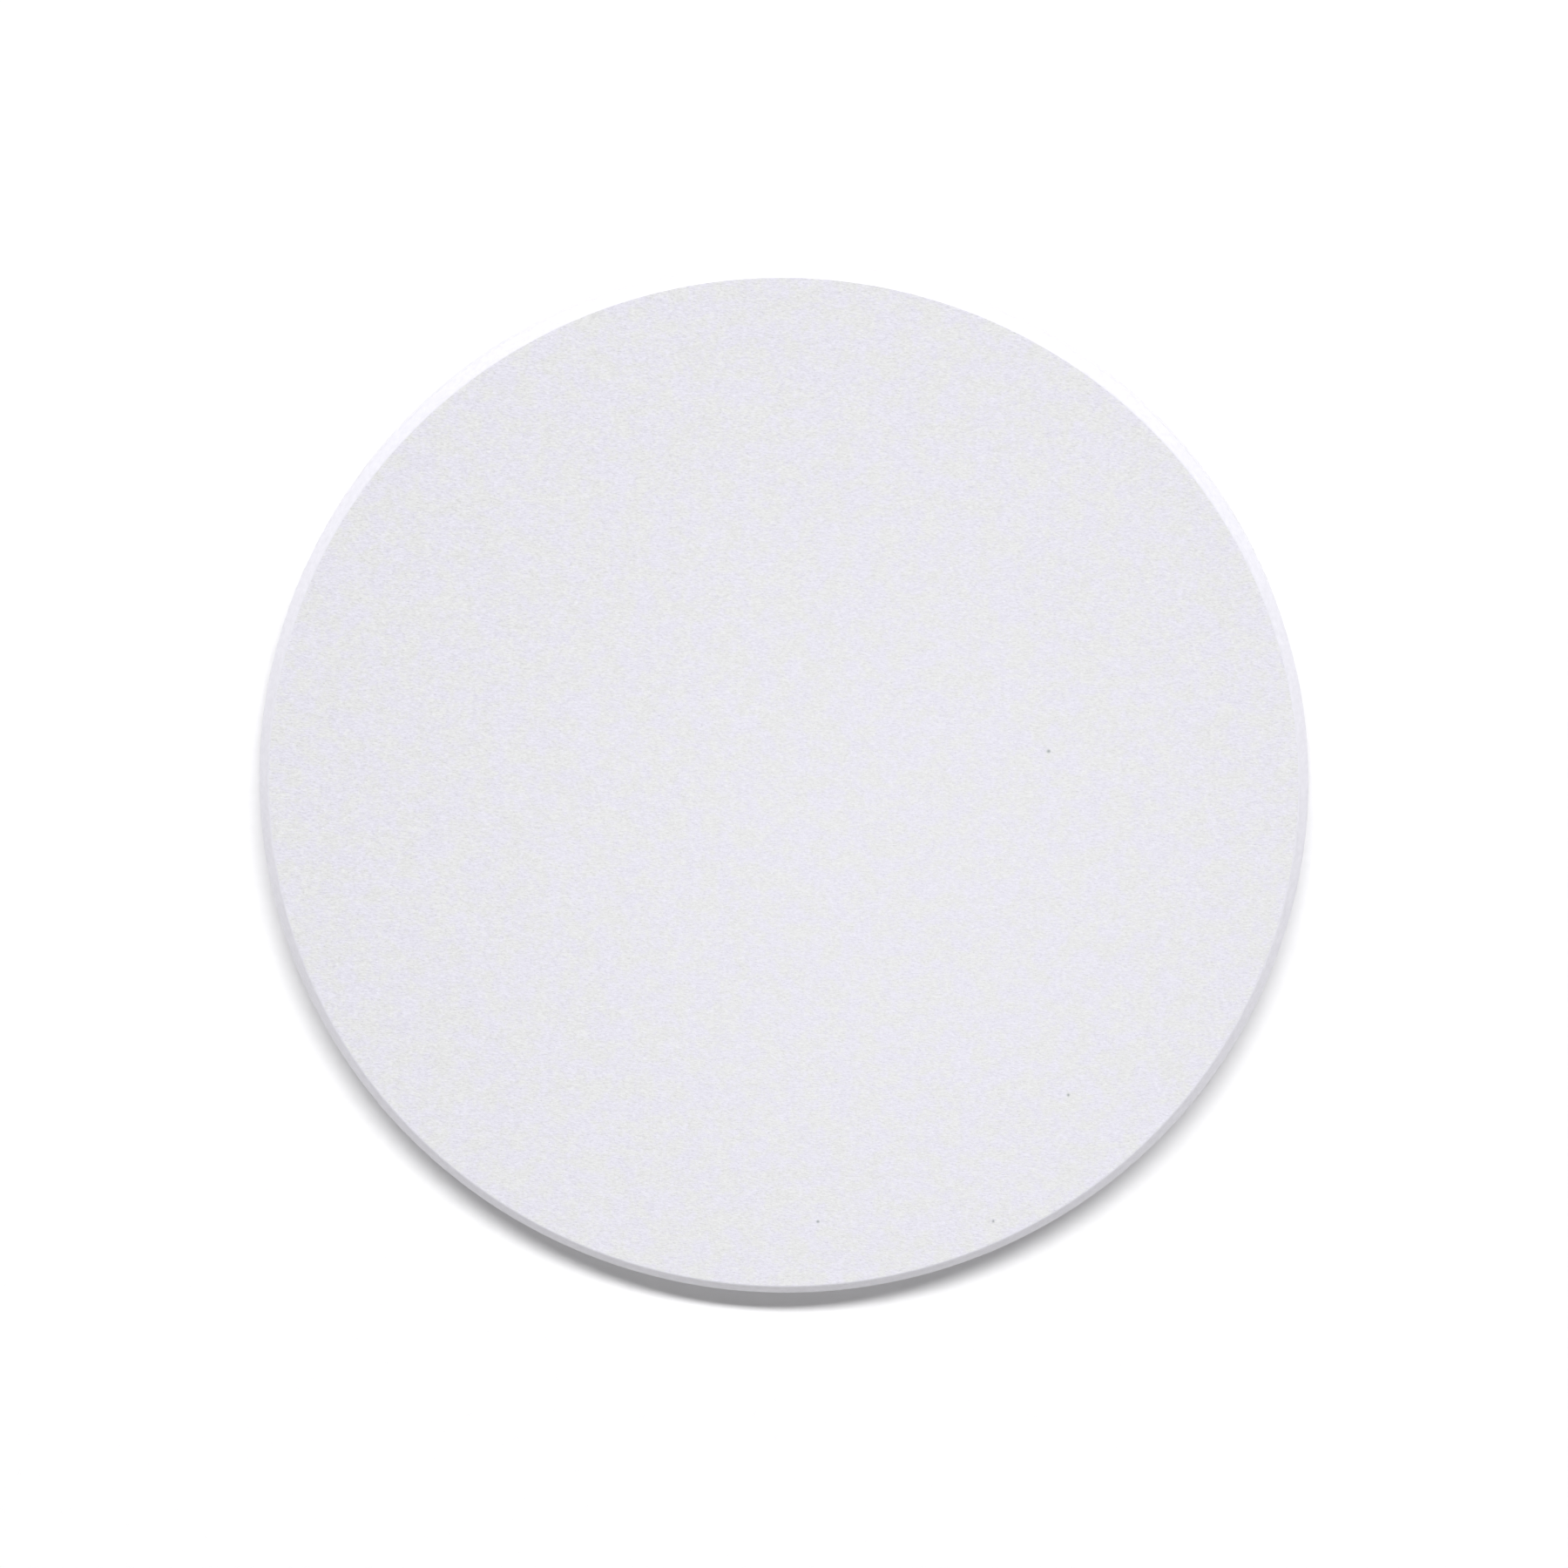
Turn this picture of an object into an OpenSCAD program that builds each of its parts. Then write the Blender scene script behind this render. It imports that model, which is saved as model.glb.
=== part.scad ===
// Weighted dealer button: two identical moulded halves close round a steel weight,
// and a satin disc is bonded to each side. The bevels are cut through disc and half together.
// The origin is the middle of the underside and +Z points out of the upper face.

/* [Button] */
// Diameter over the rim
button_d = 60; // [50:1:80]
// Thickness from face to face
button_t = 3.6; // [3:0.1:6]

/* [Bevel] */
// Width of each bevel, measured across the face before its corners are rounded
bevel_w = 0.57; // [0.3:0.01:1]
// Height of each bevel, measured down the wall before its corners are rounded
bevel_h = 0.73; // [0.35:0.01:1]
// Radius that rounds the corner between a face and its bevel
face_round = 0.15; // [0.05:0.01:0.25]
// Radius that rounds the corner between a bevel and the rim
rim_round = 0.15; // [0.05:0.01:0.3]

/* [Face discs] */
// Thickness of the satin disc on each side
face_disc_t = 0.25; // [0.15:0.05:0.3]

/* [Weight] */
// Diameter of the steel weight
slug_d = 44; // [38:0.5:53]
// Thickness of the steel weight
slug_t = 1.4; // [1:0.1:1.7]
// Edge break on the weight's rims and on its hole mouths
slug_edge = 0.2; // [0.05:0.05:0.3]
// Gap between the weight and the floor of each half
slug_end_gap = 0.05; // [0.02:0.01:0.1]
// Gap between the weight's rim and the wall of its pocket
slug_side_gap = 0.2; // [0.1:0.05:0.4]

/* [Posts] */
// Diameter of the posts that pass through the weight
post_d = 4; // [2:0.1:6]
// Distance of the posts from the middle of the button
post_offset = 14; // [9:0.5:15]
// Gap round each post in its hole
post_gap = 0.15; // [0.05:0.05:0.3]
// Lead-in chamfer at the top of each post
post_lead = 0.3; // [0.1:0.05:0.5]
// Chamfer that stiffens the foot of each post, inside the broken mouth of its hole
post_foot = 0.15; // [0.05:0.05:0.2]

/* [Crush ribs] */
// Radius of the ribs that centre the weight in its pocket
rib_r = 0.6; // [0.45:0.05:1]
// Gap left between a rib and the weight
rib_gap = 0.03; // [0.01:0.01:0.08]
// Distance that each rib stops short of the seam, which leads the weight in
rib_lead = 0.15; // [0.1:0.05:0.3]

/* [Welded seam] */
// Width of the tongues that key one half into the other
tongue_w = 0.8; // [0.5:0.05:1]
// Height of the tongues above the seam
tongue_h = 0.4; // [0.2:0.05:0.5]
// Angle that each tongue spans
tongue_span = 48; // [20:1:54]
// Gap between a tongue and the sides of its groove
tongue_gap = 0.06; // [0.03:0.01:0.1]
// Height of the weld ridge on a tongue, which fills the gap above it
ridge_h = 0.12; // [0.05:0.01:0.2]
// Width of the weld ridge
ridge_w = 0.3; // [0.1:0.05:0.4]

/* [Moulding marks] */
// Radius of the well that keeps the gate stub clear of the weight
gate_well_r = 2.5; // [1.5:0.1:4]
// Depth of the gate well
gate_well_h = 0.2; // [0.1:0.05:0.2]
// Radius of the gate stub
gate_r = 0.7; // [0.4:0.1:1]
// Height of the gate stub
gate_h = 0.12; // [0.05:0.01:0.18]
// Radius of the ejector pin marks
ejector_r = 1.5; // [0.5:0.1:2]
// Depth of the ejector pin marks
ejector_h = 0.06; // [0.02:0.01:0.15]
// Distance of the ejector pin marks from the middle
ejector_offset = 8; // [5:0.5:9]

/* [Hidden] */
$fn = 128;

button_r = button_d / 2;
face_r = button_r - bevel_w;
// Slope of the bevel, and the number of facets round each of its corners
bevel_angle = atan2(bevel_h, bevel_w);
round_steps = 4;
seam_z = button_t / 2;
// The weight's pocket, shared by the two halves
slug_r = slug_d / 2;
pocket_r = slug_r + slug_side_gap;
pocket_z = seam_z - slug_t / 2 - slug_end_gap;
pocket_h = slug_t + 2 * slug_end_gap;
// The posts stop short of the floor that they face
post_r = post_d / 2;
post_h = pocket_h - slug_end_gap;
// The tongues run down the middle of the land between the pocket and the rim
tongue_r = (pocket_r + button_r) / 2;
groove_w = tongue_w + 2 * tongue_gap;
groove_h = tongue_h + ridge_h;
groove_span = tongue_span + 2 * asin(tongue_gap / tongue_r);
// Three keys on each half, with the other half's three between them
KEYS = 3;
key_pitch = 360 / KEYS;
key_angle = 30;
shell_colour = [0.93, 0.93, 0.94];
disc_colour = [0.92, 0.92, 0.94];
steel_colour = [0.62, 0.63, 0.65];
// Overshoot of a cutter past the face that it cuts, and of a boss into its floor
bite = 0.1;

// Points along an arc between two angles, counted from the X axis.
function arc(centre, radius, from, to) = [
    for (k = [0 : round_steps])
        let (angle = from + (to - from) * k / round_steps)
            centre + radius * [cos(angle), sin(angle)]
];

// The two rounded corners of one bevel, as distance from the axis and height above the face.
function bevel_corners() = concat(
    arc([face_r - face_round * tan(bevel_angle / 2), face_round], face_round, -90, bevel_angle - 90),
    arc([button_r - rim_round, bevel_h + rim_round * tan(45 - bevel_angle / 2)], rim_round, bevel_angle - 90, 0)
);

// Half of the button's outline, from its axis to the rim, with both bevels.
module button_outline() {
    corners = bevel_corners();
    upper_corners = [for (k = [len(corners) - 1 : -1 : 0]) [corners[k].x, button_t - corners[k].y]];
    polygon(concat([[0, 0]], corners, upper_corners, [[0, button_t]]));
}

// The slice of the button between two heights.
module button_slice(low, high) {
    rotate_extrude()
        intersection() {
            button_outline();
            translate([0, low])
                square([button_r, high - low]);
        }
}

// Puts its children at each of the three key positions, turned on by a step.
module at_keys(step = 0) {
    for (k = [0 : KEYS - 1])
        rotate([0, 0, key_angle + step + k * key_pitch])
            children();
}

// Sweeps a flat outline round the tongue circle, centred on the X axis.
module key_arc(span) {
    rotate([0, 0, -span / 2])
        rotate_extrude(angle = span)
            translate([tongue_r, 0])
                children();
}

// A tongue standing on the seam, with the weld ridge along its top.
module tongue() {
    translate([0, 0, seam_z])
        key_arc(tongue_span) {
            translate([-tongue_w / 2, -bite])
                square([tongue_w, tongue_h + bite]);
            polygon([[-ridge_w / 2, tongue_h], [ridge_w / 2, tongue_h], [0, groove_h]]);
        }
}

// The space for the other half's tongue.
module groove() {
    translate([0, 0, seam_z - groove_h])
        key_arc(groove_span)
            translate([-groove_w / 2, 0])
                square([groove_w, groove_h + bite]);
}

// A post that stands on the pocket floor and passes through the weight.
module post() {
    translate([post_offset, 0, pocket_z]) {
        translate([0, 0, -bite])
            cylinder(h = post_foot + bite, r1 = post_r + post_foot + bite, r2 = post_r);
        translate([0, 0, -bite])
            cylinder(h = post_h - post_lead + bite, r = post_r);
        translate([0, 0, post_h - post_lead])
            cylinder(h = post_lead, r1 = post_r, r2 = post_r - post_lead);
    }
}

// A half-round rib down the pocket wall, which stops just short of the weight.
module crush_rib() {
    translate([slug_r + rib_gap + rib_r, 0, pocket_z - bite])
        cylinder(h = seam_z - rib_lead - pocket_z + bite, r = rib_r);
}

// The gate stub's well, sunk into the pocket floor, with the stub left standing in it.
module gate_well() {
    translate([0, 0, pocket_z - gate_well_h])
        difference() {
            cylinder(h = gate_well_h + bite, r = gate_well_r);
            translate([0, 0, -bite])
                cylinder(h = gate_h + bite, r = gate_r);
        }
}

// The round mark that an ejector pin leaves in the pocket floor.
module ejector_mark() {
    translate([ejector_offset, 0, pocket_z - ejector_h])
        cylinder(h = ejector_h + bite, r = ejector_r);
}

// One moulded half as it lies at the bottom, open side up. Turned over, it is the upper one.
module half_shell() {
    difference() {
        union() {
            difference() {
                button_slice(face_disc_t, seam_z);
                translate([0, 0, pocket_z])
                    cylinder(h = pocket_h, r = pocket_r);
            }
            at_keys()
                tongue();
            at_keys()
                post();
            for (turn = [0, key_pitch / 2])
                at_keys(turn - key_angle)
                    crush_rib();
        }
        at_keys(key_pitch / 2)
            groove();
        at_keys(key_pitch / 2)
            ejector_mark();
        gate_well();
    }
}

// Turns a piece of the lower side over, end about the X axis, into its place on the upper side.
module turned_over() {
    translate([0, 0, button_t])
        rotate([180, 0, 0])
            children();
}

// A hole through the weight for one post, with its mouths broken.
module slug_hole() {
    hole_r = post_r + post_gap;
    mouth_r = hole_r + slug_edge;
    translate([post_offset, 0, 0]) {
        translate([0, 0, -bite])
            cylinder(h = slug_t + 2 * bite, r = hole_r);
        translate([0, 0, -bite])
            cylinder(h = slug_edge + bite, r1 = mouth_r + bite, r2 = hole_r);
        translate([0, 0, slug_t - slug_edge])
            cylinder(h = slug_edge + bite, r1 = hole_r, r2 = mouth_r + bite);
    }
}

// The satin disc on the underside. The bevel is cut through its edge.
module lower_face_disc() {
    color(disc_colour)
        button_slice(0, face_disc_t);
}

// The lower moulded half.
module lower_shell() {
    color(shell_colour)
        half_shell();
}

// The steel weight, a stamped disc with a broken edge and a hole for each post.
module weight_slug() {
    color(steel_colour)
        translate([0, 0, pocket_z + slug_end_gap])
            difference() {
                rotate_extrude()
                    polygon([
                        [0, 0],
                        [slug_r - slug_edge, 0],
                        [slug_r, slug_edge],
                        [slug_r, slug_t - slug_edge],
                        [slug_r - slug_edge, slug_t],
                        [0, slug_t]
                    ]);
                for (turn = [0, key_pitch / 2])
                    at_keys(turn)
                        slug_hole();
            }
}

// The upper moulded half, the same moulding turned over.
module upper_shell() {
    color(shell_colour)
        turned_over()
            half_shell();
}

// The satin disc on the upper side.
module upper_face_disc() {
    color(disc_colour)
        turned_over()
            button_slice(0, face_disc_t);
}

lower_face_disc();
lower_shell();
weight_slug();
upper_shell();
upper_face_disc();
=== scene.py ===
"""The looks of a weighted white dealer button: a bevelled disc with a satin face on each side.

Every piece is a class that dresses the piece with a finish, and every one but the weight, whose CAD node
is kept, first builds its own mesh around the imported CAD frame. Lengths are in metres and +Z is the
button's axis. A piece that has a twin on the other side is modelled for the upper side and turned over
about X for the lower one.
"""

import enum
import logging
import math
from collections.abc import Iterable, Sequence
from dataclasses import dataclass
from typing import NamedTuple

import bmesh
import bpy
from mathutils import Matrix, Vector

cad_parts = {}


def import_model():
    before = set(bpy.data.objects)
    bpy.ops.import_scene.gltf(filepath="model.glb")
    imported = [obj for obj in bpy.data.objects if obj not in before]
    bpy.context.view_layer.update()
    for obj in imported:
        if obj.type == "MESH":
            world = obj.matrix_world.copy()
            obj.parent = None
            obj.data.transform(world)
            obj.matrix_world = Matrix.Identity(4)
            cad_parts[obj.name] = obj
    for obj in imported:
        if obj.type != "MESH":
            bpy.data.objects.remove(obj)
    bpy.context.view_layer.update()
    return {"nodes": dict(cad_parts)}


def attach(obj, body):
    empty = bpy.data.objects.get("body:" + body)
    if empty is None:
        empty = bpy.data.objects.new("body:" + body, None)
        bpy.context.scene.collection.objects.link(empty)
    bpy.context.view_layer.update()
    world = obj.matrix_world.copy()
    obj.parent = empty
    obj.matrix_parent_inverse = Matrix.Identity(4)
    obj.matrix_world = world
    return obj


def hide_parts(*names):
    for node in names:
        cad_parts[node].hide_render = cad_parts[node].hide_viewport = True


MM = 0.001
MERGE = 1e-4 * MM
FULL_TURN = 2 * math.pi

log = logging.getLogger("dealer_button")

Socket = bpy.types.NodeSocket
Colour = tuple[float, float, float]
Stretch = tuple[float, float, float]
Span = tuple[float, float]


class Side(enum.Enum):
    """The side of the button that a piece lies on."""

    UPPER = "upper"
    LOWER = "lower"


class Carving(enum.Enum):
    """What a boolean does with its tool."""

    ADD = "UNION"
    CUT = "DIFFERENCE"


class Skin(enum.IntEnum):
    """The order of a piece's two finishes in its material slots."""

    OWN = 0
    TURNED = 1


class Corner(NamedTuple):
    """One corner of a turned outline.

    Args:
        radius: The distance from the axis.
        height: The height along the axis.
        ease: How far the rounding of the corner reaches along its two sides.
    """

    radius: float
    height: float
    ease: float = 0.0


# ------------------------------------------------------------------------------ the frame


def outer_rings(node: bpy.types.Object, step: float = 0.001 * MM) -> list[tuple[float, float]]:
    """Reads the outline of a turned CAD node.

    Args:
        node: The CAD node.
        step: Points closer in height than this count as one ring.

    Returns:
        The widest ring at each height, from the lowest up, as (radius, height).
    """
    widest: dict[int, float] = {}
    for vert in node.data.vertices:
        level = round(vert.co.z / step)
        widest[level] = max(widest.get(level, 0.0), vert.co.xy.length)
    return [(radius, level * step) for level, radius in sorted(widest.items())]


@dataclass(frozen=True)
class ButtonForm:
    """The outline of the button's upper side, as the CAD frame has it.

    Args:
        radius: The radius over the rim.
        top: The height of the face.
        face_corner: The radius where the face and the bevel would meet in a sharp corner.
        face_ease: How far that corner's rounding reaches across the face.
        rim_corner: The height where the bevel and the rim would meet in a sharp corner.
        rim_ease: How far that corner's rounding reaches down the rim.
        bond_radius: The radius of the line on the bevel where a face disc meets its half.
        bond: The height of the bond line.
    """

    radius: float
    top: float
    face_corner: float
    face_ease: float
    rim_corner: float
    rim_ease: float
    bond_radius: float
    bond: float

    @classmethod
    def from_frame(cls, nodes: dict[str, bpy.types.Object], step: float = 0.001 * MM) -> "ButtonForm":
        """Measures the upper side, which the lower one mirrors.

        Args:
            nodes: The CAD nodes by name.
            step: Radii closer than this count as equal.

        Returns:
            The outline.
        """
        disc = outer_rings(nodes["upper_face_disc"])
        shell = outer_rings(nodes["upper_shell"])
        (low_radius, low), (high_radius, high) = shell[-2:]
        run_per_rise = (high_radius - low_radius) / (high - low)
        radius = max(ring_radius for ring_radius, _ in shell)
        face_flat, top = disc[-1]
        face_corner = high_radius + run_per_rise * (top - high)
        rim_corner = high + (radius - high_radius) / run_per_rise
        rim_flat = max(z for ring_radius, z in shell if radius - ring_radius < step)
        return cls(
            radius=radius,
            top=top,
            face_corner=face_corner,
            face_ease=face_corner - face_flat,
            rim_corner=rim_corner,
            rim_ease=rim_corner - rim_flat,
            bond_radius=high_radius,
            bond=high,
        )

    @property
    def seam(self) -> float:
        """The height of the welded seam, halfway up."""
        return self.top / 2

    def place(self, side: Side) -> Matrix:
        """Returns the turn that carries a piece modelled for the upper side to its own side."""
        if side is Side.UPPER:
            return Matrix.Identity(4)
        return Matrix.Translation((0, 0, self.top)) @ Matrix.Rotation(math.pi, 4, "X")


# ------------------------------------------------------------------------------ mesh helpers


def draw_outline(
    bm: bmesh.types.BMesh, corners: Sequence[Corner], closed: bool = False, segments: int = 6
) -> None:
    """Draws an outline in the XZ plane and rounds its corners.

    Args:
        bm: The empty mesh to draw in.
        corners: The outline's corners in order.
        closed: Whether the last corner joins the first.
        segments: The number of edges round an eased corner.
    """
    verts = [bm.verts.new((corner.radius, 0.0, corner.height)) for corner in corners]
    ends = verts[1:] + verts[:1] if closed else verts[1:]
    for pair in zip(verts, ends):
        bm.edges.new(pair)
    for vert, corner in zip(verts, corners):
        if corner.ease > 0:
            bmesh.ops.bevel(
                bm,
                geom=[vert],
                offset=corner.ease,
                offset_type="OFFSET",
                affect="VERTICES",
                segments=segments,
                profile=0.5,
                material=-1,
            )


def turned(corners: Sequence[Corner], steps: int) -> bmesh.types.BMesh:
    """Turns an outline that starts and ends on the Z axis into a solid.

    Args:
        corners: The outline's corners from the axis out and back to the axis.
        steps: The number of faces round the axis.

    Returns:
        The closed solid, with each flat end as one face.
    """
    bm = bmesh.new()
    draw_outline(bm, corners)
    bmesh.ops.spin(
        bm,
        geom=bm.verts[:] + bm.edges[:],
        cent=(0, 0, 0),
        axis=(0, 0, 1),
        angle=FULL_TURN,
        steps=steps,
        use_merge=True,
        use_duplicate=False,
    )
    merge_and_face_out(bm)
    for end in (corners[0].height, corners[-1].height):
        pole = next(v for v in bm.verts if v.co.xy.length < MERGE and abs(v.co.z - end) < MERGE)
        bmesh.ops.dissolve_faces(bm, faces=pole.link_faces[:], use_verts=True)
    return bm


def merge_and_face_out(bm: bmesh.types.BMesh) -> None:
    """Merges doubled points, drops empty faces and points the normals outwards."""
    bmesh.ops.remove_doubles(bm, verts=bm.verts[:], dist=MERGE)
    bmesh.ops.dissolve_degenerate(bm, edges=bm.edges[:], dist=MERGE)
    bmesh.ops.recalc_face_normals(bm, faces=bm.faces[:])


def swept(corners: Sequence[Corner], span: float, steps: int) -> bmesh.types.BMesh:
    """Sweeps a closed outline part of the way round the Z axis, centred on the X axis.

    Args:
        corners: The outline's corners.
        span: The angle of the sweep.
        steps: The number of faces along it.

    Returns:
        The closed solid.
    """
    bm = bmesh.new()
    draw_outline(bm, corners, closed=True)
    bmesh.ops.contextual_create(bm, geom=bm.edges[:])
    bmesh.ops.rotate(bm, verts=bm.verts[:], cent=(0, 0, 0), matrix=Matrix.Rotation(-span / 2, 3, "Z"))
    bmesh.ops.spin(
        bm,
        geom=bm.verts[:] + bm.edges[:] + bm.faces[:],
        cent=(0, 0, 0),
        axis=(0, 0, 1),
        angle=span,
        steps=steps,
        use_merge=False,
        use_duplicate=False,
    )
    merge_and_face_out(bm)
    return bm


def even_angles(count: int, first: float = 0.0) -> list[float]:
    """Spaces a number of angles evenly round the axis, from the first one on."""
    return [first + step * FULL_TURN / count for step in range(count)]


def set_round(bm: bmesh.types.BMesh, offset: float, angles: Iterable[float]) -> bmesh.types.BMesh:
    """Moves a shape out along X and sets copies of it round the Z axis.

    Args:
        bm: The shape, made on the axis.
        offset: How far out it goes.
        angles: The angle of each copy.

    Returns:
        The same mesh, holding all the copies.
    """
    bmesh.ops.translate(bm, verts=bm.verts[:], vec=(offset, 0, 0))
    first = bm.verts[:] + bm.edges[:] + bm.faces[:]
    for angle in angles:
        copy = bmesh.ops.duplicate(bm, geom=first)["geom"]
        verts = [item for item in copy if isinstance(item, bmesh.types.BMVert)]
        bmesh.ops.rotate(bm, verts=verts, cent=(0, 0, 0), matrix=Matrix.Rotation(angle, 3, "Z"))
    model = [item for item in first if isinstance(item, bmesh.types.BMVert)]
    bmesh.ops.delete(bm, geom=model, context="VERTS")
    return bm


def joined(shapes: Sequence[bmesh.types.BMesh]) -> bmesh.types.BMesh:
    """Puts several shapes into one mesh and frees them.

    Args:
        shapes: The shapes to join.

    Returns:
        The mesh that holds them all.
    """
    whole = bmesh.new()
    for shape in shapes:
        passing = bpy.data.meshes.new("passing")
        shape.to_mesh(passing)
        shape.free()
        whole.from_mesh(passing)
        bpy.data.meshes.remove(passing)
    return whole


def as_object(bm: bmesh.types.BMesh, name: str) -> bpy.types.Object:
    """Frees a working mesh into a new object that is linked into the scene."""
    mesh = bpy.data.meshes.new(name)
    bm.to_mesh(mesh)
    bm.free()
    made = bpy.data.objects.new(name, mesh)
    bpy.context.scene.collection.objects.link(made)
    return made


def carved(body: bmesh.types.BMesh, tool: bmesh.types.BMesh, carving: Carving) -> bmesh.types.BMesh:
    """Adds a tool's solids to a body or cuts them from it.

    Args:
        body: The closed body, which is freed.
        tool: The closed solids of the tool, which are freed.
        carving: Whether they are added or cut.

    Returns:
        The result as a new mesh.
    """
    body_object, tool_object = as_object(body, "carved_body"), as_object(tool, "carving_tool")
    boolean = body_object.modifiers.new("carving", "BOOLEAN")
    boolean.operation = carving.value
    boolean.solver = "EXACT"
    boolean.object = tool_object
    graph = bpy.context.evaluated_depsgraph_get()
    result = bmesh.new()
    result.from_object(body_object, graph)
    for used in (body_object, tool_object):
        mesh = used.data
        bpy.data.objects.remove(used)
        bpy.data.meshes.remove(mesh)
    merge_and_face_out(result)
    return result


def finished(
    bm: bmesh.types.BMesh, name: str, place: Matrix, sharp: float = math.radians(20)
) -> bpy.types.Object:
    """Turns a working mesh into a smooth shaded piece at the origin.

    Args:
        bm: The working mesh, which is freed.
        name: The name of the piece.
        place: Where the piece goes, put into its mesh.
        sharp: Edges bent by more than this stay sharp.

    Returns:
        The new object.
    """
    bmesh.ops.transform(bm, matrix=place, verts=bm.verts[:])
    for face in bm.faces:
        face.smooth = True
    for edge in bm.edges:
        edge.smooth = len(edge.link_faces) == 2 and edge.calc_face_angle(math.pi) < sharp
    piece = as_object(bm, name)
    weighted = piece.modifiers.new("weighted_normals", "WEIGHTED_NORMAL")
    weighted.keep_sharp = True
    return piece


# ------------------------------------------------------------------------------ finishes


class Pattern(NamedTuple):
    """A noise on the surface and the part of its height that is read.

    Args:
        per_mm: Its features to a millimetre.
        low: The height that reads as 0.
        high: The height that reads as 1.
        detail: The number of finer layers.
        rough: The strength of the finer layers.
        stretch: How many times denser it is along each axis.
        turn: Its turn about Z.
    """

    per_mm: float
    low: float = 0.3
    high: float = 0.7
    detail: float = 2.0
    rough: float = 0.5
    stretch: Stretch = (1.0, 1.0, 1.0)
    turn: float = 0.0


class Speck(NamedTuple):
    """A fleck of dirt in a face.

    Args:
        radius: Its distance from the axis in millimetres.
        angle: Its angle from +X in degrees.
        reach: Its own radius in millimetres.
    """

    radius: float
    angle: float
    reach: float


def colour_sockets(sockets: Iterable[Socket]) -> list[Socket]:
    """Picks the colour sockets of a Mix node."""
    return [socket for socket in sockets if socket.type == "RGBA"]


@dataclass
class NodeSheet:
    """A small writer for a node tree.

    Args:
        tree: The node tree.
    """

    tree: bpy.types.NodeTree

    def add(self, kind: str, **settings: object) -> bpy.types.Node:
        """Adds a node and sets its properties."""
        node = self.tree.nodes.new(kind)
        for key, value in settings.items():
            setattr(node, key, value)
        return node

    def link(self, source: Socket, target: Socket) -> None:
        """Joins two sockets."""
        self.tree.links.new(source, target)

    def feed(self, target: Socket, value: Socket | float | Colour) -> None:
        """Joins a socket to an input, or sets the input to a number or a colour.

        Args:
            target: The input.
            value: What it gets.
        """
        if isinstance(value, Socket):
            self.link(value, target)
        elif isinstance(value, tuple):
            target.default_value = (*value, 1.0)
        else:
            target.default_value = value

    def combine(self, operation: str, *values: Socket | float) -> Socket:
        """Works out one Math operation on sockets or numbers."""
        node = self.add("ShaderNodeMath", operation=operation)
        for target, value in zip(node.inputs, values):
            self.feed(target, value)
        return node.outputs["Value"]

    def span(self, value: Socket, start: Span, end: Span = (0.0, 1.0)) -> Socket:
        """Maps one range of a value to another and holds it at both ends.

        Args:
            value: The value.
            start: The range that it comes in.
            end: The range that it goes out as.

        Returns:
            The mapped value.
        """
        node = self.add("ShaderNodeMapRange", clamp=True)
        for key, number in zip(("From Min", "From Max", "To Min", "To Max"), start + end):
            node.inputs[key].default_value = number
        self.link(value, node.inputs["Value"])
        return node.outputs["Result"]


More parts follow.
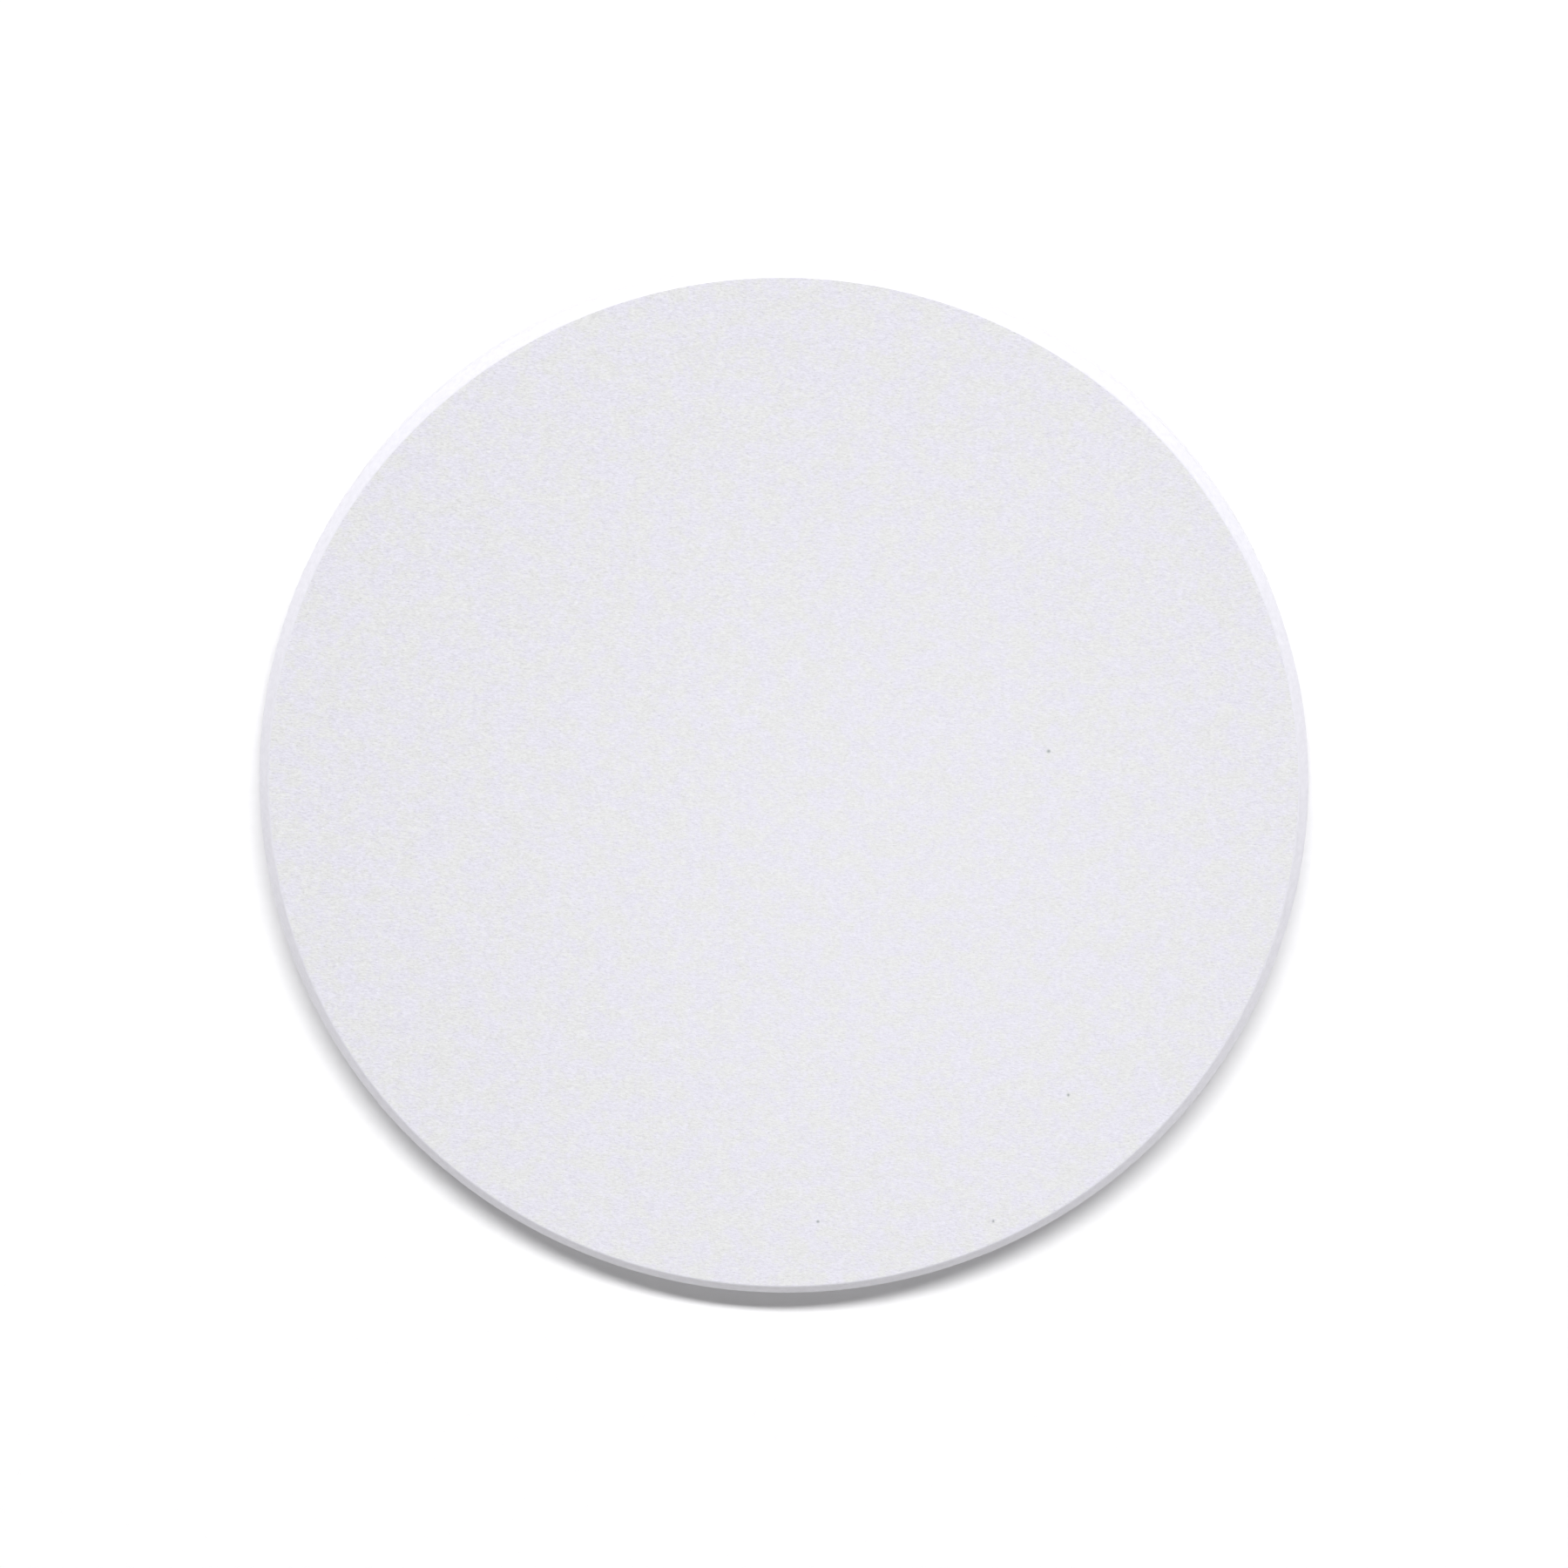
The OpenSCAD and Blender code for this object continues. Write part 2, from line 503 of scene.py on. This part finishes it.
class SurfaceSheet(NodeSheet):
    """A writer for one material, whose patterns lie on the piece in millimetres."""

    def __init__(self, name: str) -> None:
        """Makes the material with its surface shader and nothing else.

        Args:
            name: The name of the material.
        """
        self.material = bpy.data.materials.new(name)
        self.material.use_nodes = True
        super().__init__(self.material.node_tree)
        self.tree.nodes.clear()
        self.shader = self.add("ShaderNodeBsdfPrincipled")
        output = self.add("ShaderNodeOutputMaterial")
        self.link(self.shader.outputs["BSDF"], output.inputs["Surface"])

    def drive(self, name: str, source: Socket) -> None:
        """Joins a socket to one of the surface shader's inputs."""
        self.link(source, self.shader.inputs[name])

    def point(self, stretch: Stretch = (1.0, 1.0, 1.0), turn: float = 0.0) -> Socket:
        """Gives the place on the piece in millimetres.

        Args:
            stretch: How many times denser a pattern is along each axis.
            turn: The pattern's turn about Z.

        Returns:
            The vector socket.
        """
        coordinates = self.add("ShaderNodeTexCoord")
        mapping = self.add("ShaderNodeMapping", vector_type="POINT")
        mapping.inputs["Scale"].default_value = tuple(density / MM for density in stretch)
        mapping.inputs["Rotation"].default_value = (0, 0, turn)
        self.link(coordinates.outputs["Object"], mapping.inputs["Vector"])
        return mapping.outputs["Vector"]

    def height(self, pattern: Pattern) -> Socket:
        """Adds a pattern and returns its height, about a half on the whole."""
        node = self.add("ShaderNodeTexNoise")
        node.inputs["Scale"].default_value = pattern.per_mm
        node.inputs["Detail"].default_value = pattern.detail
        node.inputs["Roughness"].default_value = pattern.rough
        self.link(self.point(pattern.stretch, pattern.turn), node.inputs["Vector"])
        return node.outputs["Fac"]

    def share(self, pattern: Pattern, most: float = 1.0) -> Socket:
        """Adds a pattern and reads its height from 0 to the most that it gives."""
        return self.span(self.height(pattern), (pattern.low, pattern.high), (0.0, most))

    def mix(self, share: Socket, first: Colour | Socket, second: Colour | Socket) -> Socket:
        """Mixes two colours.

        Args:
            share: How much of the second colour shows.
            first: The colour at a share of 0.
            second: The colour at a share of 1.

        Returns:
            The mixed colour.
        """
        node = self.add("ShaderNodeMix", data_type="RGBA")
        self.link(share, node.inputs[0])
        for target, colour in zip(colour_sockets(node.inputs), (first, second)):
            self.feed(target, colour)
        return colour_sockets(node.outputs)[0]

    def tinted(self, colour: Socket, tint: Socket) -> Socket:
        """Multiplies a colour by a tint."""
        node = self.add("ShaderNodeMix", data_type="RGBA", blend_type="MULTIPLY")
        node.inputs[0].default_value = 1.0
        for target, source in zip(colour_sockets(node.inputs), (colour, tint)):
            self.link(source, target)
        return colour_sockets(node.outputs)[0]

    def bump(self, height: Socket, depth: float, under: Socket | None = None) -> Socket:
        """Turns a height into a surface normal.

        Args:
            height: The height, from 0 to 1.
            depth: What a height of 1 is in metres.
            under: The normal of a coarser bump under this one.

        Returns:
            The normal.
        """
        node = self.add("ShaderNodeBump")
        node.inputs["Strength"].default_value = 1.0
        node.inputs["Distance"].default_value = depth
        self.link(height, node.inputs["Height"])
        if under is not None:
            self.link(under, node.inputs["Normal"])
        return node.outputs["Normal"]

    def spot(self, speck: Speck) -> Socket:
        """Marks a round spot that goes straight through the piece.

        Args:
            speck: Where the spot is and how far it reaches.

        Returns:
            1 in the middle of the spot and 0 outside it.
        """
        angle = math.radians(speck.angle)
        flat = self.add("ShaderNodeVectorMath", operation="MULTIPLY")
        flat.inputs[1].default_value = (1, 1, 0)
        self.link(self.point(), flat.inputs[0])
        away = self.add("ShaderNodeVectorMath", operation="DISTANCE")
        away.inputs[1].default_value = (speck.radius * math.cos(angle), speck.radius * math.sin(angle), 0)
        self.link(flat.outputs["Vector"], away.inputs[0])
        return self.span(away.outputs["Value"], (0.0, speck.reach), (1.0, 0.0))


DRAWN: Stretch = (1.25, 3.4, 1.0)


@dataclass(frozen=True)
class SatinFace:
    """The printable satin disc, whose fine grain is drawn out along X over faint tinted clouds."""

    dark: Colour = (0.598, 0.594, 0.608)
    light: Colour = (0.838, 0.842, 0.850)
    lavender: Colour = (1.0, 0.985, 1.082)
    neutral: Colour = (1.0, 1.003, 0.998)
    fleck_colour: Colour = (0.90, 0.93, 0.95)
    pit_colour: Colour = (0.40, 0.46, 0.50)
    dirt: Colour = (0.26, 0.29, 0.30)
    grain: Pattern = Pattern(4.0, low=0.2, high=0.8, detail=2.5, rough=0.62, stretch=DRAWN)
    grain_depth: float = 0.008 * MM
    cloud: Pattern = Pattern(0.9, low=0.42, high=0.58, detail=5.0, rough=0.72)
    fleck: Pattern = Pattern(4.5, low=0.78, high=0.86, detail=0.0, stretch=DRAWN)
    fleck_share: float = 0.6
    pit: Pattern = Pattern(4.5, low=0.20, high=0.14, detail=0.0, stretch=DRAWN)
    pit_share: float = 0.45
    dimple: Pattern = Pattern(0.8)
    dimple_depth: float = 0.010 * MM
    gloss_span: Span = (0.3, 0.7)
    roughness: Span = (0.26, 0.37)
    specks: tuple[Speck, ...] = (
        Speck(15.3, -167, 0.16),
        Speck(25.6, 99, 0.14),
        Speck(28.2, 120, 0.12),
        Speck(24.3, 137, 0.13),
    )

    def colour(self, sheet: SurfaceSheet) -> Socket:
        """Lays the grain, the tinted clouds, the flecks, the pits and the dirt over one another.

        Args:
            sheet: The material's writer.

        Returns:
            The colour.
        """
        tint = sheet.mix(sheet.share(self.cloud), self.lavender, self.neutral)
        colour = sheet.tinted(sheet.mix(sheet.share(self.grain), self.dark, self.light), tint)
        colour = sheet.mix(sheet.share(self.fleck, self.fleck_share), colour, self.fleck_colour)
        colour = sheet.mix(sheet.share(self.pit, self.pit_share), colour, self.pit_colour)
        for speck in self.specks:
            colour = sheet.mix(sheet.spot(speck), colour, self.dirt)
        return colour

    def material(self) -> bpy.types.Material:
        """Builds the material and returns it."""
        sheet = SurfaceSheet("satin_grain")
        grain = sheet.height(self.grain)
        sheet.drive("Base Color", self.colour(sheet))
        sheet.drive("Roughness", sheet.span(grain, self.gloss_span, self.roughness))
        dimples = sheet.bump(sheet.height(self.dimple), self.dimple_depth)
        sheet.drive("Normal", sheet.bump(grain, self.grain_depth, dimples))
        return sheet.material


@dataclass(frozen=True)
class TurnedEdgePaintedLight:
    """The bevels and the rim, skimmed on a lathe: long fine lines round the axis. Their colour holds
    painted light: it is lighter and bluer than the face's plastic, so that the bevels read brighter than
    the lamps make them.
    """

    # painted light: the face's own plastic, made lighter and bluer here to brighten the bevels and the
    # rim
    dark: Colour = (0.722, 0.717, 0.788)
    light: Colour = (0.798, 0.793, 0.866)
    line: Pattern = Pattern(9.0, stretch=(0.02, 0.02, 1.0))
    line_depth: float = 0.0012 * MM
    grain: Pattern = Pattern(3.2, low=0.25, high=0.75, detail=3.0, rough=0.6)
    grain_depth: float = 0.006 * MM
    roughness: Span = (0.31, 0.43)

    def material(self) -> bpy.types.Material:
        """Builds the material and returns it."""
        sheet = SurfaceSheet("turned_edge_painted_light")
        sheet.drive("Base Color", sheet.mix(sheet.share(self.grain), self.dark, self.light))
        line = sheet.height(self.line)
        sheet.drive("Roughness", sheet.span(line, (self.line.low, self.line.high), self.roughness))
        grain = sheet.bump(sheet.height(self.grain), self.grain_depth)
        sheet.drive("Normal", sheet.bump(line, self.line_depth, grain))
        return sheet.material


@dataclass(frozen=True)
class MouldedBody:
    """The halves' plastic where it is as the mould left it: a dull spark-eroded skin."""

    dark: Colour = (0.665, 0.655, 0.700)
    light: Colour = (0.745, 0.735, 0.785)
    grain: Pattern = Pattern(5.0, detail=3.0, rough=0.6)
    grain_depth: float = 0.008 * MM
    flow: Pattern = Pattern(0.16)
    roughness: Span = (0.46, 0.60)

    def material(self) -> bpy.types.Material:
        """Builds the material and returns it."""
        sheet = SurfaceSheet("moulded_skin")
        sheet.drive("Base Color", sheet.mix(sheet.share(self.flow), self.dark, self.light))
        grain = sheet.height(self.grain)
        sheet.drive("Roughness", sheet.span(grain, (self.grain.low, self.grain.high), self.roughness))
        sheet.drive("Normal", sheet.bump(grain, self.grain_depth))
        return sheet.material


@dataclass(frozen=True)
class ZincPlate:
    """The stamped and zinc-plated steel of the weight: bluish, clouded and tumbled."""

    dark: Colour = (0.46, 0.47, 0.49)
    light: Colour = (0.62, 0.63, 0.65)
    cloud: Pattern = Pattern(0.45, detail=4.0, rough=0.6)
    scuff: Pattern = Pattern(2.4, stretch=(0.2, 1.6, 1.0), turn=math.radians(35))
    scuff_depth: float = 0.006 * MM
    roughness: Span = (0.24, 0.46)

    def material(self) -> bpy.types.Material:
        """Builds the material and returns it."""
        sheet = SurfaceSheet("zinc_plate")
        sheet.shader.inputs["Metallic"].default_value = 1.0
        sheet.drive("Base Color", sheet.mix(sheet.share(self.cloud), self.dark, self.light))
        scuff = sheet.height(self.scuff)
        sheet.drive("Roughness", sheet.span(scuff, (self.scuff.low, self.scuff.high), self.roughness))
        sheet.drive("Normal", sheet.bump(scuff, self.scuff_depth))
        return sheet.material


@dataclass(frozen=True)
class WhiteTable:
    """The matt white table top under the button."""

    dark: Colour = (0.925, 0.925, 0.935)
    light: Colour = (0.955, 0.955, 0.965)
    grain: Pattern = Pattern(1.4, detail=3.0, rough=0.6)
    roughness: float = 0.85
    gloss: float = 0.1

    def material(self) -> bpy.types.Material:
        """Builds the material and returns it."""
        sheet = SurfaceSheet("white_table")
        sheet.drive("Base Color", sheet.mix(sheet.share(self.grain), self.dark, self.light))
        sheet.shader.inputs["Roughness"].default_value = self.roughness
        sheet.shader.inputs["Specular IOR Level"].default_value = self.gloss
        return sheet.material


@dataclass(frozen=True)
class Finishes:
    """The materials that the pieces share.

    Args:
        satin: The face discs' finish.
        turned: The finish of the bevels and the rim, whose colour holds painted light.
        moulded: The halves' finish inside.
        zinc: The weight's finish.
    """

    satin: bpy.types.Material
    turned: bpy.types.Material
    moulded: bpy.types.Material
    zinc: bpy.types.Material

    @classmethod
    def mixed(cls) -> "Finishes":
        """Builds every finish once."""
        return cls(
            satin=SatinFace().material(),
            turned=TurnedEdgePaintedLight().material(),
            moulded=MouldedBody().material(),
            zinc=ZincPlate().material(),
        )


def skim_edge(piece: bpy.types.Object, inside: float, flat: float = 0.99) -> None:
    """Gives the bevel and the rim of a piece the turned finish, with its painted light.

    Args:
        piece: The piece, with both finishes in its slots.
        inside: Faces nearer to the axis than this keep their own finish.
        flat: Faces whose normal is this upright are flat, and keep theirs too.
    """
    for polygon in piece.data.polygons:
        if polygon.center.xy.length > inside and abs(polygon.normal.z) < flat:
            polygon.material_index = Skin.TURNED


# ------------------------------------------------------------------------------ pieces


@dataclass
class FaceDisc:
    """One satin disc. The bevel is cut through its edge.

    Args:
        form: The button's outline.
        side: The side that the disc lies on.
        steps: The number of faces round its edge.
        hairline: How far its lower edge is eased where it meets the moulded half.
    """

    form: ButtonForm
    side: Side
    steps: int = 512
    hairline: float = 0.015 * MM

    def build(self) -> bpy.types.Object:
        """Models the disc and returns it."""
        form = self.form
        bm = turned(
            [
                Corner(0, form.bond),
                Corner(form.bond_radius, form.bond, self.hairline),
                Corner(form.face_corner, form.top, form.face_ease),
                Corner(0, form.top),
            ],
            self.steps,
        )
        return finished(bm, f"{self.side.value}_satin_disc", form.place(self.side))

    def dress(self, piece: bpy.types.Object, finishes: Finishes) -> None:
        """Gives the disc its finishes and its place in the frame."""
        piece.data.materials.append(finishes.satin)
        piece.data.materials.append(finishes.turned)
        skim_edge(piece, self.form.face_corner - self.form.face_ease)
        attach(piece, "root")
        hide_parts(f"{self.side.value}_face_disc")


@dataclass
class HalfShell:
    """One moulded half, with the pocket, posts, ribs and keys that hold the weight and the seam.

    Args:
        form: The button's outline.
        side: The side that the half lies on.
        steps: The number of faces round its rim.
        pin_steps: The number of faces round a post, a rib or a round mark.
        key_steps: The number of faces along a tongue or a groove.
        hairline: How far its upper edge is eased where it meets the face disc.
        seam_break: How far the rim's edge at the seam is eased.
        pocket_radius: The radius of the pocket for the weight.
        pocket_depth: How deep the pocket is from the seam.
        bite: How far a tool reaches past the surface that it starts from.
        keys: The number of tongues, of grooves and of posts.
        first_key: The angle of the first tongue and the first post.
        post_radius: The radius of a post.
        post_height: How far a post stands out of the pocket's flat.
        post_offset: How far a post's axis is from the button's.
        post_lead: The chamfer of a post's tip.
        post_foot: The chamfer of a post's foot.
        rib_count: The number of ribs.
        rib_radius: The radius of a rib.
        rib_offset: How far a rib's axis is from the button's.
        rib_lead: How far a rib stops short of the seam.
        tongue_width: The width of a tongue.
        tongue_height: How far a tongue stands out of the seam.
        tongue_span: The angle that a tongue spans.
        tongue_gap: The room that a groove leaves beside a tongue.
        ridge_width: The width of the weld ridge at its foot.
        ridge_height: The height of the weld ridge.
        gate_well_radius: The radius of the well round the gate's stub.
        gate_well_depth: The depth of that well.
        gate_radius: The radius of the stub.
        gate_height: The height of the stub.
        ejector_radius: The radius of an ejector mark.
        ejector_depth: The depth of an ejector mark.
        ejector_offset: How far an ejector mark is from the axis.
    """

    form: ButtonForm
    side: Side
    steps: int = 512
    pin_steps: int = 96
    key_steps: int = 64
    hairline: float = 0.015 * MM
    seam_break: float = 0.04 * MM
    pocket_radius: float = 22.2 * MM
    pocket_depth: float = 0.75 * MM
    bite: float = 0.1 * MM
    keys: int = 3
    first_key: float = math.radians(90)
    post_radius: float = 2.0 * MM
    post_height: float = 1.45 * MM
    post_offset: float = 14 * MM
    post_lead: float = 0.3 * MM
    post_foot: float = 0.15 * MM
    rib_count: int = 6
    rib_radius: float = 0.6 * MM
    rib_offset: float = 22.63 * MM
    rib_lead: float = 0.15 * MM
    tongue_width: float = 0.8 * MM
    tongue_height: float = 0.4 * MM
    tongue_span: float = math.radians(48)
    tongue_gap: float = 0.06 * MM
    ridge_width: float = 0.3 * MM
    ridge_height: float = 0.12 * MM
    gate_well_radius: float = 2.5 * MM
    gate_well_depth: float = 0.2 * MM
    gate_radius: float = 0.7 * MM
    gate_height: float = 0.12 * MM
    ejector_radius: float = 1.5 * MM
    ejector_depth: float = 0.06 * MM
    ejector_offset: float = 8 * MM

    @property
    def roof(self) -> float:
        """The height of the pocket's flat."""
        return self.form.seam + self.pocket_depth

    @property
    def tongue_radius(self) -> float:
        """The radius of the circle that the tongues and grooves lie on."""
        return (self.pocket_radius + self.form.radius) / 2

    @property
    def tongue_angles(self) -> list[float]:
        """The angles of the tongues and the posts."""
        return even_angles(self.keys, self.first_key)

    @property
    def groove_angles(self) -> list[float]:
        """The angles of the grooves and the ejector marks, halfway between the tongues."""
        return even_angles(self.keys, self.first_key + FULL_TURN / self.keys / 2)

    def blank(self) -> bmesh.types.BMesh:
        """Turns the half's outside and its empty pocket."""
        form = self.form
        return turned(
            [
                Corner(0, self.roof),
                Corner(self.pocket_radius, self.roof),
                Corner(self.pocket_radius, form.seam),
                Corner(form.radius, form.seam, self.seam_break),
                Corner(form.radius, form.rim_corner, form.rim_ease),
                Corner(form.bond_radius, form.bond, self.hairline),
                Corner(0, form.bond),
            ],
            self.steps,
        )

    def posts(self) -> bmesh.types.BMesh:
        """Builds the posts that pass through the weight."""
        root, tip = self.roof + self.bite, self.roof - self.post_height
        post = turned(
            [
                Corner(0, root),
                Corner(self.post_radius + self.post_foot + self.bite, root),
                Corner(self.post_radius, self.roof - self.post_foot),
                Corner(self.post_radius, tip + self.post_lead),
                Corner(self.post_radius - self.post_lead, tip),
                Corner(0, tip),
            ],
            self.pin_steps,
        )
        return set_round(post, self.post_offset, self.tongue_angles)

    def ribs(self) -> bmesh.types.BMesh:
        """Builds the half-round ribs that centre the weight."""
        root, tip = self.roof + self.bite, self.form.seam + self.rib_lead
        rib = self.plug(self.rib_radius, tip, root)
        return set_round(rib, self.rib_offset, even_angles(self.rib_count))

    def tongues(self) -> bmesh.types.BMesh:
        """Builds the tongues, each with the weld ridge along its tip."""
        middle, seam = self.tongue_radius, self.form.seam
        tip = seam - self.tongue_height
        tongue = swept(
            [
                Corner(middle - self.tongue_width / 2, seam + self.bite),
                Corner(middle + self.tongue_width / 2, seam + self.bite),
                Corner(middle + self.tongue_width / 2, tip),
                Corner(middle + self.ridge_width / 2, tip),
                Corner(middle, tip - self.ridge_height),
                Corner(middle - self.ridge_width / 2, tip),
                Corner(middle - self.tongue_width / 2, tip),
            ],
            self.tongue_span,
            self.key_steps,
        )
        return set_round(tongue, 0, self.tongue_angles)

    def grooves(self) -> bmesh.types.BMesh:
        """Builds the space for the other half's tongues."""
        middle, seam = self.tongue_radius, self.form.seam
        half_width = self.tongue_width / 2 + self.tongue_gap
        depth = self.tongue_height + self.ridge_height
        groove = swept(
            [
                Corner(middle - half_width, seam - self.bite),
                Corner(middle + half_width, seam - self.bite),
                Corner(middle + half_width, seam + depth),
                Corner(middle - half_width, seam + depth),
            ],
            self.tongue_span + 2 * math.asin(self.tongue_gap / middle),
            self.key_steps,
        )
        return set_round(groove, 0, self.groove_angles)

    def plug(self, radius: float, low: float, high: float) -> bmesh.types.BMesh:
        """Builds a plain round solid on the axis between two heights."""
        corners = [Corner(0, low), Corner(radius, low), Corner(radius, high), Corner(0, high)]
        return turned(corners, self.pin_steps)

    def build(self) -> bpy.types.Object:
        """Models the half and returns it."""
        roof = self.roof
        well = self.plug(self.gate_well_radius, roof - self.bite, roof + self.gate_well_depth)
        marks = self.plug(self.ejector_radius, roof - self.bite, roof + self.ejector_depth)
        marks = set_round(marks, self.ejector_offset, self.groove_angles)
        gate_tip = roof + self.gate_well_depth - self.gate_height
        gate = self.plug(self.gate_radius, gate_tip, roof + self.gate_well_depth + self.bite)
        half = carved(self.blank(), joined([self.grooves(), well, marks]), Carving.CUT)
        half = carved(half, joined([self.posts(), self.ribs(), self.tongues(), gate]), Carving.ADD)
        return finished(half, f"{self.side.value}_half", self.form.place(self.side))

    def dress(self, piece: bpy.types.Object, finishes: Finishes) -> None:
        """Gives the half its finishes and its place in the frame."""
        piece.data.materials.append(finishes.moulded)
        piece.data.materials.append(finishes.turned)
        skim_edge(piece, (self.tongue_radius + self.form.radius) / 2)
        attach(piece, "root")
        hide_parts(f"{self.side.value}_shell")


@dataclass
class Weight:
    """The steel weight, whose CAD node stays as it is and gets a better finish.

    Args:
        node: The CAD node.
    """

    node: bpy.types.Object

    def dress(self, finishes: Finishes) -> None:
        """Gives every slot of the weight the plated finish."""
        for slot in self.node.material_slots:
            slot.material = finishes.zinc


# ------------------------------------------------------------------------------ the studio


@dataclass(frozen=True)
class Lamp:
    """An oval soft light.

    Args:
        name: The light's name.
        azimuth: Where it hangs round the button, 0 being in front and clockwise from above.
        elevation: How high it hangs.
        distance: How far from the button it hangs.
        half_width: Half the angle that it spans sideways.
        half_height: Half the angle that it spans up and down.
        watts: Its power.
        colour: Its colour.
    """

    name: str
    azimuth: float
    elevation: float
    distance: float
    half_width: float
    half_height: float
    watts: float
    colour: Colour = (1.0, 1.0, 1.0)

    def hang(self) -> bpy.types.Object:
        """Hangs the light so that it faces the button, and returns it."""
        data = bpy.data.lights.new(self.name, "AREA")
        data.shape = "ELLIPSE"
        data.size = 2 * self.distance * math.tan(self.half_width)
        data.size_y = 2 * self.distance * math.tan(self.half_height)
        data.energy = self.watts
        data.color = self.colour
        level = math.cos(self.elevation)
        toward = Vector(
            (-math.sin(self.azimuth) * level, -math.cos(self.azimuth) * level, math.sin(self.elevation))
        )
        light = bpy.data.objects.new(self.name, data)
        light.location = toward * self.distance
        light.rotation_euler = toward.to_track_quat("Z", "Y").to_euler()
        bpy.context.scene.collection.objects.link(light)
        return light


STRIP = Lamp(
    name="strip",
    azimuth=0.0,
    elevation=math.radians(58),
    distance=3.0,
    half_width=math.radians(22),
    half_height=math.radians(3),
    watts=93.5,
)
TOP_LIGHT = Lamp(
    name="top",
    azimuth=math.radians(170),
    elevation=math.radians(76.5),
    distance=0.45,
    half_width=math.radians(5),
    half_height=math.radians(5),
    watts=0.19,
    colour=(0.90, 0.92, 1.0),
)


@dataclass(frozen=True)
class Studio:
    """A white table, a strip light high in front, a small top light and a pale horizon all round.

    Args:
        table_size: The table's length and width.
        table_gap: How far under the button the table lies, so that no two faces share a place.
        horizon: The light's strength at the horizon.
        horizon_colour: The light's colour.
        horizon_falloff: How fast it fades upwards.
        lamps: The lamps.
    """

    table_size: float = 1.2
    table_gap: float = 0.02 * MM
    horizon: float = 1.15
    horizon_colour: Colour = (1.0, 0.975, 0.89)
    horizon_falloff: float = 2.0
    lamps: tuple[Lamp, ...] = (STRIP, TOP_LIGHT)

    def build(self) -> None:
        """Lays the table, hangs the lamps and lights the horizon."""
        self.lay_table()
        for lamp in self.lamps:
            lamp.hang()
        self.light_horizon()
        bpy.context.scene.view_settings.view_transform = "Standard"

    def lay_table(self) -> None:
        """Lays the table just under the button."""
        bm = bmesh.new()
        bmesh.ops.create_grid(bm, x_segments=1, y_segments=1, size=self.table_size / 2)
        bmesh.ops.translate(bm, verts=bm.verts[:], vec=(0, 0, -self.table_gap))
        table = as_object(bm, "table")
        table.data.materials.append(WhiteTable().material())

    def light_horizon(self) -> None:
        """Builds a world that is bright at the horizon and dark overhead."""
        world = bpy.data.worlds.new("pale_horizon")
        world.use_nodes = True
        sheet = NodeSheet(world.node_tree)
        direction = sheet.add("ShaderNodeTexCoord")
        split = sheet.add("ShaderNodeSeparateXYZ")
        sheet.link(direction.outputs["Generated"], split.inputs["Vector"])
        lowness = sheet.combine("SUBTRACT", 1.0, sheet.combine("ABSOLUTE", split.outputs["Z"]))
        glow = sheet.combine("POWER", lowness, self.horizon_falloff)
        background = world.node_tree.nodes["Background"]
        sheet.feed(background.inputs["Color"], self.horizon_colour)
        sheet.feed(background.inputs["Strength"], sheet.combine("MULTIPLY", glow, self.horizon))
        bpy.context.scene.world = world


@dataclass(frozen=True)
class OverheadCamera:
    """A long lens that looks almost straight down from the button's front.

    The picture's top is the front, so the camera is rolled by a little over half a turn.

    Args:
        elevation: How high the camera stands.
        distance_in_radii: How far from the middle of the face it is, in radii of the button.
        roll: Its turn about the line of sight.
        sensor: The width of the sensor in millimetres.
        lens: The focal length in millimetres.
        aim_right: How far to the right of the middle of the face it aims.
        aim_up: How far above the middle of the face it aims.
    """

    elevation: float = math.radians(78.31)
    distance_in_radii: float = 13.36
    roll: float = math.radians(184.59)
    sensor: float = 36.0
    lens: float = 161.2
    aim_right: float = 0.05 * MM
    aim_up: float = 0.30 * MM

    def build(self, form: ButtonForm) -> None:
        """Makes the camera and gives it to the scene."""
        data = bpy.data.cameras.new("overhead")
        data.sensor_width = self.sensor
        data.lens = self.lens
        back = Vector((0, -math.cos(self.elevation), math.sin(self.elevation)))
        rolled = back.to_track_quat("Z", "Y") @ Matrix.Rotation(self.roll, 3, "Z").to_quaternion()
        aim = Vector((0, 0, form.top)) + rolled @ Vector((self.aim_right, self.aim_up, 0))
        camera = bpy.data.objects.new("overhead", data)
        camera.location = aim + back * self.distance_in_radii * form.radius
        camera.rotation_euler = rolled.to_euler()
        bpy.context.scene.collection.objects.link(camera)
        bpy.context.scene.camera = camera


def main() -> None:
    """Builds the camera, the studio and the button's pieces in order."""
    logging.basicConfig(level=logging.INFO, format="%(name)s: %(message)s")
    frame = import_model()
    form = ButtonForm.from_frame(frame["nodes"])
    OverheadCamera().build(form)
    Studio().build()
    finishes = Finishes.mixed()
    for side in Side:
        for part in (FaceDisc(form, side), HalfShell(form, side)):
            piece = part.build()
            part.dress(piece, finishes)
            log.info("%s: %d faces", piece.name, len(piece.data.polygons))
    weight = Weight(frame["nodes"]["weight_slug"])
    weight.dress(finishes)
    log.info("%s: kept from the frame", weight.node.name)


if __name__ == "__main__":
    main()
